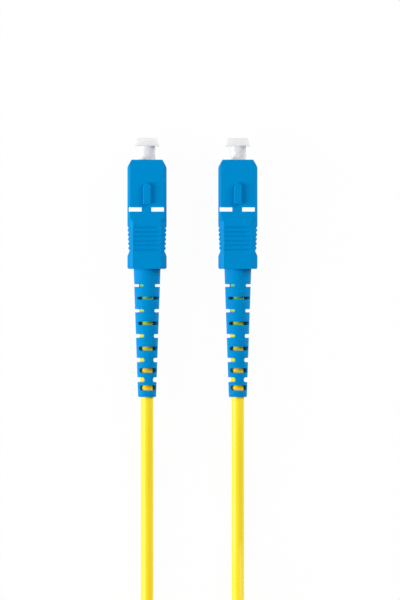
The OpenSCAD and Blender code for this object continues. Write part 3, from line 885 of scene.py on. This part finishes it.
@dataclass
class HousingShell:
    """The outer housing: one closed skin with its grip, key, windows, cams and bore."""

    end: End
    place: Matrix
    bars: Table
    half_width: float = 4.5
    half_height: float = 3.7
    length: float = 25.12
    soft: float = 0.09
    rear_soft: float = 0.01
    front_corner: Table = ((1.01, 0.0), (0.84, 0.2), (0.14, 1.45), (0.0, 1.85))
    front_lead: Pair = (0.35, 0.7)
    front_bevel: Pair = (0.6, 0.6)
    grip_bevel: Pair = (1.27, 1.0)
    grip_from: float = 13.2
    grip_blend: float = 1.2
    grip_steps: int = 6
    grooves: int = 6
    groove_first: float = 15.71
    groove_pitch: float = 1.03
    groove_depth: float = 0.24
    groove_reach: float = 0.36
    groove_fade: float = 0.6
    groove_levels: tuple[float, ...] = (-1.0, -0.15, 0.0, 0.15, 1.0)
    waist: float = 0.25
    notch: float = 0.25
    flare_from: float = 0.1
    flare: float = 1.2
    rear_round: float = 0.4
    rear_angles: range = range(0, 90, 15)
    cavity: Point = (3.85, 2.85, 0.5)
    cavity_end: float = 17.1
    small_bore: float = 2.95
    small_bore_end: float = 21.81
    rear_bore: float = 3.225
    merge: float = 0.002
    cut_reach: float = 0.0005
    window: Point = (2.2, 8.0, 1.6)
    cam: Pair = (5.6, 7.4)
    cam_height: float = 0.5
    key_half: float = 0.85
    key_height: float = 0.8
    key_span: Pair = (5.35, 10.2)
    key_bevel: float = 0.15
    key_lean: Pair = (0.15, 0.2)
    tops: tuple[float, ...] = (3.05, 2.85, 2.55, 1.3, 0.85, 0.7, 0.4, 0.0)
    bar_from: float = 10.99
    bar_width: float = 0.955
    ink_proud: float = 0.004
    ink_depth: float = 0.02

    def groove(self, index: int) -> float:
        """Give the place of a grip groove's middle."""
        return self.groove_first + index * self.groove_pitch

    def groove_share(self, where: float) -> float:
        """Give how deep the nearest groove is at a place, as a share of its depth."""
        offset = min(abs(where - self.groove(k)) for k in range(self.grooves))
        return max(0.0, 1 - offset / self.groove_reach)

    def width_at(self, where: float) -> float:
        """Give half the width: the notched waist, its flare and the round rear.

        Args:
            where: The place along the housing.

        Returns:
            Half the width there.
        """
        last = self.groove(self.grooves - 1)
        round_from = self.length - self.rear_round
        if where > round_from:
            into = (where - round_from) / self.rear_round
            return self.half_width - self.rear_round * (1 - math.sqrt(max(0.0, 1 - into * into)))
        if where > last:
            share = min(1.0, max(0.0, where - last - self.flare_from) / self.flare)
            return self.half_width - (self.waist + self.notch) * (1 - share)
        into = max(0.0, where - self.groove_first + self.groove_pitch / 2)
        share = into / self.grooves / self.groove_pitch
        return self.half_width - self.waist * share - self.notch * self.groove_share(where)

    def outline(
        self,
        where: float,
        wide: float,
        high: float,
        side_corner: float,
        top_corner: float,
        sunk: float = 0.0,
    ) -> list[Point]:
        """Give a section with cut corners, each corner itself cut a little.

        Args:
            where: Its place along the housing.
            wide: Half its width.
            high: Half its height.
            side_corner: Height at which the cut corner meets the side.
            top_corner: Distance out at which it meets the top.
            sunk: How deep the wide faces lie below that height.

        Returns:
            The section's points.
        """
        low, up = Vector((wide, side_corner)), Vector((top_corner, high))
        slope = (up - low).normalized() * self.soft
        level = self.window[2]
        sides = [(wide, y) for y in (0.0, level / 2, level, side_corner - self.soft)]
        cut = [tuple(low + slope), tuple(up - slope), (top_corner - self.soft, high)]
        fade = self.groove_fade
        top = [(x, high - sunk * ease((top_corner - x) / fade)) for x in self.tops]
        return [(x, y, where) for x, y in mirrored([*sides, *cut, *top])]

    def outer(self, where: float, inset: float = 0.0) -> list[Point]:
        """Give the outer section.

        Args:
            where: Its place along the housing.
            inset: How far it is drawn in.

        Returns:
            Its points.
        """
        wide = self.width_at(where)
        lead, lead_length = self.front_lead
        high = self.half_height - lead * max(0.0, 1 - where / lead_length)
        blend = ease((where - self.grip_from) / self.grip_blend)
        cut_w, cut_h = Vector(self.front_bevel).lerp(Vector(self.grip_bevel), blend)
        side = self.half_height - cut_h * (wide - self.half_width + cut_w) / cut_w
        top = self.half_width - cut_w * (high - self.half_height + cut_h) / cut_h
        sunk = self.groove_depth * self.groove_share(where)
        return self.outline(where, wide - inset, high - inset, side - inset, top - inset, sunk)

    def inner(self, where: float, outset: float = 0.0) -> list[Point]:
        """Give the cavity's section, let out by an outset."""
        wide, high, cut = self.cavity
        return self.outline(where, wide + outset, high + outset, high - cut, wide - cut)

    def circle(self, radius: float, where: float) -> list[Point]:
        """Give a round section of the bore, with as many points as the outer one."""
        return [(x, y, where) for x, y in round_section(radius, len(self.outer(0.0)))]

    def stations(self) -> list[float]:
        """Give the places of the outer sections.

        Returns:
            The places, from front to back.
        """
        last = self.groove(self.grooves - 1) + self.flare_from
        round_from = self.length - self.rear_round
        places = {self.front_lead[1], *self.window[:2], *self.cam, self.key_span[1]}
        steps = range(self.grip_steps + 1)
        places |= {self.grip_from + self.grip_blend * t / self.grip_steps for t in steps}
        places |= {last, last + self.flare}
        for k in range(self.grooves):
            places |= {self.groove(k) + self.groove_reach * t for t in self.groove_levels}
        turns = [math.radians(a) for a in self.rear_angles]
        places |= {round_from + self.rear_round * math.sin(a) for a in turns}
        return sorted(places)

    def sections(self) -> list[list[Point]]:
        """Give the skin's sections: out along the outside, back through the bore and cavity.

        Returns:
            The sections in order.
        """
        soft, rear, small = self.soft, self.rear_bore, self.small_bore
        outside = (soft, *self.stations(), self.length - self.rear_soft)
        bore = (
            (rear + soft, self.length),
            (rear, self.length - soft),
            (rear, self.small_bore_end),
            (small + soft, self.small_bore_end),
            (small, self.small_bore_end - soft),
            (small, self.cavity_end),
        )
        inside = (self.cavity_end, self.window[1], *reversed(self.cam), self.window[0], soft)
        return [
            self.outer(0.0, soft),
            *[self.outer(where) for where in outside],
            self.outer(self.length, soft),
            *[self.circle(radius, where) for radius, where in bore],
            *[self.inner(where) for where in inside],
            self.inner(0.0, soft),
        ]

    def slope_front(self, bm: BMesh) -> None:
        """Cut the front corners off aslant in three steps, down to the open cavity.

        Args:
            bm: The housing's mesh.
        """
        for side in (-1, 1):
            for (wide, back), (narrow, further) in zip(self.front_corner, self.front_corner[1:]):
                cut = bmesh.ops.bisect_plane(
                    bm,
                    geom=[*bm.verts, *bm.edges, *bm.faces],
                    dist=self.cut_reach,
                    plane_co=(side * (self.half_width - wide), 0, back),
                    plane_no=(side * (further - back), 0, narrow - wide),
                    clear_outer=True,
                )["geom_cut"]
                bmesh.ops.edgeloop_fill(bm, edges=[e for e in cut if isinstance(e, BMEdge)])

    def open_windows(self, bm: BMesh) -> None:
        """Cut the window in each side wall and soften its outer edge.

        Args:
            bm: The housing's mesh.
        """
        front, back, level = self.window
        for side in (-1, 1):
            rims = []
            for wall in (side * self.half_width, side * self.cavity[0]):
                faces = faces_within(bm, (wall, -level, front), (wall, level, back))
                rims.append(rim_of(faces))
                bmesh.ops.delete(bm, geom=faces, context="FACES")
            bmesh.ops.bridge_loops(bm, edges=rims[0] + rims[1])
            soften(bm, rims[0], self.soft)

    def raise_cams(self, bm: BMesh) -> None:
        """Draw the release cams out of the cavity's side walls.

        Args:
            bm: The housing's mesh.
        """
        front, back = self.cam
        level, top = self.window[2], self.half_height
        for side in (-1, 1):
            wall = side * self.cavity[0]
            for low, high in ((-top, -level), (level, top)):
                faces = faces_within(bm, (wall, low, front), (wall, high, back))
                for vert in draw_out(bm, faces)[1]:
                    vert.co.x -= side * self.cam_height
                    if vert.co.z < front + SLACK:
                        vert.co.z += self.cam_height

    def raise_key(self, bm: BMesh) -> None:
        """Draw the key up out of the top face, round in front, with a ramp and bevelled edges.

        Args:
            bm: The housing's mesh.
        """
        front, back = self.key_span
        half, top = self.key_half, self.half_height
        faces = faces_within(bm, (-half, top, self.cam[0]), (half, top, back))
        for vert in {v for f in faces for v in f.verts}:
            if vert.co.z < self.cam[0] + SLACK:
                vert.co.z = front + half - math.sqrt(max(0.0, half**2 - vert.co.x**2))
        for height, narrower, lean in (
            (0.5, 0.0, 0.0),
            (1 - self.key_bevel / self.key_height, 0.0, self.key_lean[0]),
            (1.0, self.key_bevel / half, self.key_lean[1]),
        ):
            faces, moved = draw_out(bm, faces)
            for vert in moved:
                vert.co.y = top + self.key_height * height
                vert.co.x *= 1 - narrower
                if vert.co.z < self.cam[1] - SLACK:
                    vert.co.z += lean

    def print_bars(self) -> None:
        """Print the white bars across the top face, each from one place across to another."""
        bm = bmesh.new()
        edge = self.half_width - self.front_bevel[0]
        height = self.half_height + self.ink_proud
        for start, stop in self.bars:
            across = [start, *[x for x in (-edge, edge) if start < x < stop], stop]
            row = [
                bm.verts.new((x, height - max(0.0, abs(x) - edge), self.bar_from)) for x in across
            ]
            lines = [bm.edges.new(pair) for pair in zip(row, row[1:])]
            made = bmesh.ops.extrude_edge_only(bm, edges=lines)["geom"]
            moved = [v for v in made if isinstance(v, BMVert)]
            bmesh.ops.translate(bm, verts=moved, vec=(0, 0, self.bar_width))
        bmesh.ops.recalc_face_normals(bm, faces=bm.faces)
        if sum(f.normal.y for f in bm.faces) < 0:
            bmesh.ops.reverse_faces(bm, faces=bm.faces)
        bmesh.ops.solidify(bm, geom=bm.faces[:], thickness=-self.ink_depth)
        name, body = self.end.own("housing_marks"), self.end.own("housing")
        piece(bm, name, INK_WHITE, body, (), self.place, SHARP)

    def build(self) -> None:
        """Make the housing, whose wide faces stay flat in their shading, and its bars."""
        bm = closed_skin(self.sections(), self.merge)
        for shape in (self.slope_front, self.open_windows, self.raise_cams, self.raise_key):
            shape(bm)
        made = piece(
            bm,
            self.end.own("housing_shell"),
            HOUSING_BLUE,
            self.end.own("housing"),
            (self.end.own("outer_housing"),),
            self.place,
            SHARP,
        )
        made.modifiers.new("flat_faces", "WEIGHTED_NORMAL").keep_sharp = True
        self.print_bars()


@dataclass
class BootSleeve:
    """The bend-relief boot: a cone with rows of round-ended slots, each a quarter turn on."""

    end: End
    place: Matrix
    columns: int = 72
    turned: float = -12.0
    first_row: float = 28.94
    last_row: float = 52.49
    rows: int = 10
    even_rows: int = 6
    tighten: float = 0.255
    slot_height: Pair = (0.6, 1.16)
    half_span: float = 62.5
    half_angle: float = 63.0
    soft: float = 0.06
    merge: float = 0.001
    skin_reach: float = 0.1
    smooth_below: float = 40.0
    outside: Table = (
        (19.3, 2.6), (19.6, 2.8), (24.11, 2.8), (24.41, 3.1), (25.0, 3.1), (54.4, 2.09),
        (54.6, 1.95),
    )
    inside: Table = ((19.3, 2.45), (28.2, 2.45), (28.6, 1.82), (54.6, 1.56))
    levels: tuple[float, ...] = (-1.0, -0.92, -0.62, 0.0, 0.62, 0.92, 1.0)

    def row(self, index: int) -> Pair:
        """Give a row of slots, which stand closer together after the even rows.

        Args:
            index: The row, from 0 at the front.

        Returns:
            Its place and the height of its slots.
        """
        late = max(0, index + 1 - self.even_rows)
        latest = self.rows - self.even_rows
        drawn = self.tighten * latest * (latest + 1) / 2
        pitch = (self.last_row - self.first_row + drawn) / (self.rows - 1)
        place = self.first_row + index * pitch - self.tighten * late * (late + 1) / 2
        low, high = self.slot_height
        return place, low + (high - low) * index / (self.rows - 1)

    def places(self) -> list[float]:
        """Give the places of the sections that both skins share, along the slots.

        Returns:
            The places in order.
        """
        made: list[float] = []
        for index in range(self.rows):
            place, height = self.row(index)
            if made:
                made.append((made[-1] + place - height / 2) / 2)
            made += [place + height / 2 * level for level in self.levels]
        return made

    def ring(self, radius: float, where: float) -> list[Point]:
        """Give a round section whose columns meet the slots' ends."""
        turned, step = math.radians(self.turned), math.tau / self.columns
        return [(*polar(radius, turned + step / 2 + step * k), where) for k in range(self.columns)]

    def away(self, spot: Vector, centre: float) -> float:
        """Give a point's angle from a slot's middle, in degrees from -180 to 180."""
        angle = math.degrees(math.atan2(spot.y, spot.x)) - centre
        return (angle + 180) % 360 - 180

    def cut_slot(self, bm: BMesh, index: int, centre: float) -> list[BMEdge]:
        """Cut one slot through both skins.

        Args:
            bm: The boot's mesh.
            index: The slot's row.
            centre: The direction of its middle, in degrees.

        Returns:
            The edges of its outer rim.
        """
        place, height = self.row(index)
        half = height / 2
        near = [f for f in bm.faces if abs(f.verts[0].co.z - place) < half + self.merge]
        middles = {f: f.calc_center_median() for f in near}
        loops: list[list[BMEdge]] = []
        for table in (self.outside, self.inside):
            faces = [
                f
                for f, at in middles.items()
                if abs(at.z - place) < half
                and abs(self.away(at, centre)) < self.half_span
                and abs(math.hypot(at.x, at.y) - between(table, at.z)) < self.skin_reach
            ]
            loops.append(rim_of(faces))
            round_end = math.degrees(half / between(table, place))
            for vert in {v for e in loops[-1] for v in e.verts}:
                level = min(1.0, abs(vert.co.z - place) / half)
                reach = self.half_angle - round_end * (1 - math.sqrt(1 - level * level))
                turn = self.away(vert.co, centre) * (reach / self.half_span - 1)
                vert.co.rotate(Matrix.Rotation(math.radians(turn), 3, "Z"))
            bmesh.ops.delete(bm, geom=faces, context="FACES")
        bmesh.ops.bridge_loops(bm, edges=loops[0] + loops[1])
        return loops[0]

    def build(self) -> None:
        """Make the boot, with how deep each corner is between its skins written on it as its share
        of painted shade.
        """
        sections = []
        for table, backwards in ((self.outside, False), (self.inside, True)):
            places = sorted([*self.places(), *[p for p, _ in table]], reverse=backwards)
            sections += [self.ring(between(table, where), where) for where in places]
        bm = closed_skin(sections, self.merge)
        rims: list[BMEdge] = []
        for index in range(self.rows):
            for half_turn in (0, 180):
                rims += self.cut_slot(bm, index, half_turn + index % 2 * 90 + self.turned)
        soften(bm, rims, self.soft)
        # Painted shade: none on the outer skin, darkest on the inner one, so the bore and slot
        # walls look shaded.
        depth = bm.verts.layers.float.new("depth")
        for vert in bm.verts:
            skins = [between(table, vert.co.z) for table in (self.outside, self.inside)]
            vert[depth] = (skins[0] - vert.co.xy.length) / (skins[0] - skins[1])
        name, nodes = self.end.own("boot_sleeve"), (self.end.own("boot"),)
        piece(bm, name, BOOT_BLUE_PAINTED_SHADE, "root", nodes, self.place, self.smooth_below)


@dataclass
class SpringCoil:
    """The compression spring behind the flange: drawn wire in one even helix."""

    end: End
    place: Matrix
    wire: float = 0.45
    radius: float = 1.85
    span: Pair = (8.4, 14.4)
    curls: int = 6
    points_a_curl: int = 28
    sides: int = 10

    def build(self) -> None:
        """Make the spring, on no body."""
        start, stop = self.span[0] + self.wire / 2, self.span[1] - self.wire / 2
        count = self.curls * self.points_a_curl
        path = []
        for i in range(count + 1):
            x, y = polar(self.radius, math.tau * i / self.points_a_curl)
            path.append(Vector((x, y, start + (stop - start) * i / count)))
        bm = sweep(path, round_section(self.wire / 2, self.sides))
        name, nodes = self.end.own("spring_coil"), (self.end.own("spring"),)
        made = piece(bm, name, SPRING_STEEL, None, nodes, self.place)
        self.end.own("ferrule")
        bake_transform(made)


@dataclass
class JacketEnd:
    """The cable's jacket inside the boot, up to where it is stripped: a hollow tube."""

    end: End
    place: Matrix
    radius: float = 1.46
    wall: float = 0.5
    front: float = 25.4
    back: float = 54.6
    step: float = 1.3
    sides: int = 36
    lean: float = 0.14
    lean_over: float = 3.0
    # The share of painted shade and painted blue bounce light, by how far in from the back, row of
    # slots by row.
    painted_green_shade: Table = (
        (0.0, 0.0), (0.09, 0.0), (0.14, 0.2), (0.18, 0.1), (0.23, 0.12), (0.27, 0.42),
        (0.32, 0.42), (0.37, 0.3), (0.41, 0.3), (0.46, 0.4), (0.5, 0.42), (0.55, 0.63),
        (0.6, 0.65), (0.64, 0.56), (0.69, 0.55), (0.73, 0.85), (0.78, 0.97), (1.0, 1.0),
    )

    def path(self) -> list[Vector]:
        """Give its middle line, which leans to one side of the boot's bore between its ends.

        Returns:
            Its points in millimetres, from the front.
        """
        length = self.back - self.front
        count = round(length / self.step)
        points = []
        for k in range(count + 1):
            gone = length * k / count
            aside = -self.lean * ease(min(gone, length - gone) / self.lean_over)
            points.append(Vector((aside, 0, self.front + gone)))
        return points

    def build(self) -> None:
        """Make the jacket's end, with its share of painted green shade, from its back to its front,
        written on it.
        """
        bm = sweep(self.path(), round_section(self.radius, self.sides))
        discs = [f for f in bm.faces if len(f.verts) == self.sides]
        bmesh.ops.delete(bm, geom=discs, context="FACES_ONLY")
        bmesh.ops.recalc_face_normals(bm, faces=bm.faces)
        outwards = (f.normal.dot(Vector((*f.calc_center_median().xy, 0))) for f in bm.faces)
        if sum(outwards) < 0:
            bmesh.ops.reverse_faces(bm, faces=bm.faces)
        bmesh.ops.solidify(bm, geom=bm.faces[:], thickness=self.wall)
        depth = bm.verts.layers.float.new("depth")
        for vert in bm.verts:
            into = (self.back - vert.co.z) / (self.back - self.front)
            vert[depth] = between(self.painted_green_shade, into)
        name, nodes = self.end.own("jacket_end"), (self.end.own("cable_jacket"),)
        piece(bm, name, JACKET_PAINTED_SHADE, "root", nodes, self.place)


@dataclass
class Plug:
    """One end of the cord: every piece of its plug, on its own axis."""

    end: End
    bars: Table
    half_pitch: float = 10.45
    front: float = 24.8
    height: float = 3.7
    cap_rounding: float = 0.12
    frame_rounding: float = 0.06

    def place(self) -> Matrix:
        """Give the plug's place, with its own axis turned to point along the object's Y.

        Returns:
            The move from the plug's own axes to the object's, in millimetres.
        """
        side = -1 if self.end is End.A else 1
        spot = Vector((side * self.half_pitch, self.front, self.height))
        return Matrix.Translation(spot) @ Matrix.Rotation(math.pi / 2, 4, "X")

    def build(self) -> None:
        """Make the plug's pieces and dress the nodes that stay."""
        place = self.place()
        HousingShell(self.end, place, self.bars).build()
        for part in (BootSleeve, JacketEnd, SpringCoil):
            part(self.end, place).build()
        dress(self.end.own("dust_cap"), CAP_MILKY, self.cap_rounding)
        dress(self.end.own("plug_frame"), FRAME_NATURAL, self.frame_rounding)
        for base, finish in (
            ("ferrule", ZIRCONIA),
            ("ferrule_flange", NICKEL),
            ("stop_ring", NICKEL),
            ("crimp_ring", NICKEL),
            ("aramid_yarn", YARN),
            ("fiber_buffer", BUFFER),
            ("glass_fiber", GLASS),
        ):
            dress(self.end.own(base), finish)


# ------------------------------ the studio


@dataclass
class Studio:
    """The camera, the lights and the plain pale floor.

    A lamp's row holds its name, its direction in degrees from the X axis towards the Y axis and
    then above the floor, how far its edge is from its middle in degrees as the plugs see it, and
    its light, next to a room of even light that has 1.
    """

    frame_width: float = 92.1
    aim: Pair = (1.74, -7.47)
    aim_height: float = 3.7
    lens: float = 500.0
    sensor: float = 36.0
    sensor_share: float = 24.0
    lamps: tuple[tuple[str, float, float, float, float], ...] = (
        ("key_light", 186.0, 26.0, 16.0, 1.05),
        ("side_light", 30.0, 28.0, 20.0, 0.68),
    )
    lamp_distance: float = 600.0
    fill: float = 0.32
    clip: Pair = (10.0, 10000.0)
    floor_paper: str = "#F4F4F4"
    floor_size: float = 3000.0
    floor_gap: float = 0.02
    floor_own_light: float = 0.97

    def camera(self) -> None:
        """Set the camera straight above the plugs."""
        data = bpy.data.cameras.new("camera")
        data.type = "PERSP"
        data.lens = self.lens
        data.sensor_width = self.sensor
        data.clip_start, data.clip_end = (reach * MM for reach in self.clip)
        distance = self.frame_width / self.sensor_share * self.lens
        made = put("camera", data)
        made.location = Vector((*self.aim, self.aim_height + distance)) * MM
        bpy.context.scene.camera = made

    def light(self) -> None:
        """Add the square soft lamps, which face the plugs."""
        far = self.lamp_distance * MM
        for name, azimuth, height, reach, share in self.lamps:
            data = bpy.data.lights.new(name, "AREA")
            data.shape = "SQUARE"
            data.size = 2 * far * math.tan(math.radians(reach))
            # A face so far off gets 1 / (pi * far**2) of it, and pi from a room of even light.
            data.energy = share * math.pi**2 * far**2
            made = put(name, data)
            turn, rise = math.radians(azimuth), math.radians(height)
            made.location = far * Vector((*polar(math.cos(rise), turn), math.sin(rise)))
            made.rotation_mode = "QUATERNION"
            made.rotation_quaternion = (-made.location).to_track_quat("-Z", "Y")

    def seen_rays(self, tree: NodeTree) -> NodeSocket:
        """Give 1 for the rays that see the background: camera, glossy and transmission rays.

        Args:
            tree: The material's or the world's nodes.

        Returns:
            The socket that is 1 for those rays and 0 for all others.
        """
        rays = add_node(tree, "LightPath").outputs
        most = rays["Is Camera Ray"]
        for name in ("Is Glossy Ray", "Is Transmission Ray"):
            both = {".operation": "MAXIMUM", 0: most, 1: rays[name]}
            most = add_node(tree, "Math", both).outputs[0]
        return most

    def world(self) -> None:
        """Fill the room with even light, white where it is seen."""
        world = bpy.data.worlds.new("studio")
        bpy.context.scene.world = world
        tree = empty_tree(world)
        fill, seen = (
            add_node(tree, "Background", {"Color": linear(WHITE), "Strength": strength}).outputs[0]
            for strength in (self.fill, 1.0)
        )
        mix = add_node(tree, "MixShader", {0: self.seen_rays(tree), 1: fill, 2: seen})
        add_node(tree, "OutputWorld", {"Surface": mix.outputs[0]})

    def floor(self) -> None:
        """Lay the floor, matte white, which keeps a faint shadow of the cord."""
        bm = bmesh.new()
        bmesh.ops.create_grid(bm, x_segments=1, y_segments=1, size=self.floor_size / 2 * MM)
        bmesh.ops.translate(bm, verts=bm.verts, vec=(0, 0, -self.floor_gap * MM))
        mesh = bpy.data.meshes.new("floor")
        bm.to_mesh(mesh)
        bm.free()
        paper = bpy.data.materials.new("floor_paper_matte_white")
        tree = empty_tree(paper)
        matte = add_node(tree, "BsdfDiffuse", {"Color": linear(self.floor_paper)}).outputs[0]
        white = add_node(tree, "Emission", {"Color": linear(WHITE)}).outputs[0]
        part = {".operation": "MULTIPLY", 0: self.seen_rays(tree), 1: self.floor_own_light}
        share = add_node(tree, "Math", part).outputs[0]
        mix = add_node(tree, "MixShader", {0: share, 1: matte, 2: white})
        add_node(tree, "OutputMaterial", {"Surface": mix.outputs[0]})
        mesh.materials.append(paper)
        put("floor", mesh)

    def build(self) -> None:
        """Set up the lights, the world and the floor."""
        bpy.context.scene.view_settings.view_transform = "Standard"
        self.light()
        self.world()
        self.floor()


# ------------------------------ whole model


def main() -> None:
    """Build the studio and every piece."""
    logging.basicConfig(level=logging.INFO, format="%(message)s")
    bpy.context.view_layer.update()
    studio = Studio()
    studio.camera()
    cord = Cord()
    cord_piece, route = cord.build()
    Plug(End.A, ((-4.13, -1.22), (1.0, 3.9))).build()
    Plug(End.B, ((-4.15, -1.28), (0.98, 3.88))).build()
    straps = [
        Strap("strap_near", "coil_tie_near", (10.597, 22.01)).build(),
        Strap("strap_far", "coil_tie_far", (-23.67, -8.907)).build(),
    ]
    studio.build()


if __name__ == "__main__":
    main()
